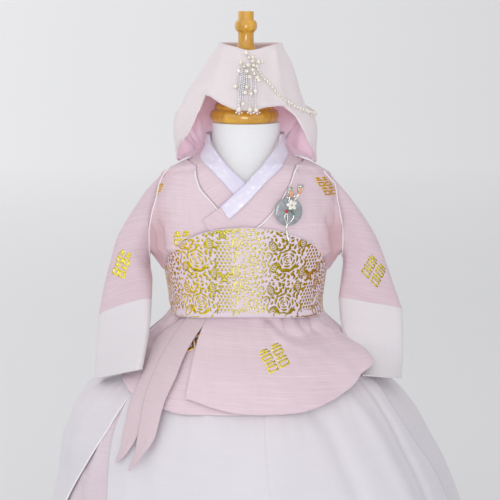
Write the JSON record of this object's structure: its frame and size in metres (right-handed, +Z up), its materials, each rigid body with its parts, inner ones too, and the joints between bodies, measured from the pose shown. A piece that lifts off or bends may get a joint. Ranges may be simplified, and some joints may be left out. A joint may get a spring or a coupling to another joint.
{
  "type": "korean hanbok on a dress form",
  "caption": "Child's hanbok on a dress form: court jacket with curved hem, wrapped skirt, wide gold-patterned belt, ties, lined cap and brooch.",
  "frame": {"origin": "middle of the flat underside of the stand's base", "axes": "+Z up, -Y towards the front of the garment, +X towards the wearer's left"},
  "size_m": [0.5937, 0.4759, 0.7615],
  "materials": {
    "pink_cloth": "fine crosswise slub, soft satin sheen",
    "cap_cloth": "fine crosswise slub, pale",
    "pink_satin": "smooth satin",
    "white_organza": "sheer, crisp, fine upright slub",
    "white_satin": "satin jacquard",
    "white_cotton": "plain weave, matt",
    "foiled_silk": "pale silk with gold foil flowers",
    "linen": "fine plain weave, matt",
    "lacquered_wood": "clear gloss lacquer",
    "stand_steel": "satin",
    "pearl": "pearl lustre",
    "shell_disc": "polished grey-blue shell",
    "silver": "polished silver",
    "coral": "polished",
    "red_bead": "gloss",
    "green_bead": "gloss"
  },
  "bodies": {
    "root": {"form_torso": "linen", "neck_cap": "lacquered_wood", "neck_finial": "lacquered_wood", "stand_pole": "stand_steel", "stand_base": "lacquered_wood", "dangui_front_left": "pink_cloth", "dangui_front_right": "pink_cloth", "dangui_back": "pink_cloth", "sleeve_left": "pink_cloth", "sleeve_right": "pink_cloth", "cuff_left": "white_organza", "cuff_right": "white_organza", "collar_over": "pink_cloth", "collar_under": "pink_cloth", "dongjeong_over": "white_satin", "dongjeong_under": "white_satin", "piping_over": "white_satin", "piping_under": "white_satin", "belt": "foiled_silk", "goreum_long": "pink_cloth", "goreum_short": "pink_cloth", "chima_waistband": "white_cotton", "chima_under": "pink_cloth", "chima_back": "white_organza", "chima_front": "white_organza", "cap_shell": "cap_cloth", "cap_lining": "pink_satin", "cap_tassel": "pearl", "cap_string": "pearl", "brooch_disc": "shell_disc", "brooch_branch": "silver", "brooch_bud_1": "coral", "brooch_bud_2": "coral", "brooch_blossom": "pearl", "brooch_red_bead": "red_bead", "brooch_green_bead": "green_bead"}
  },
  "joints": []
}
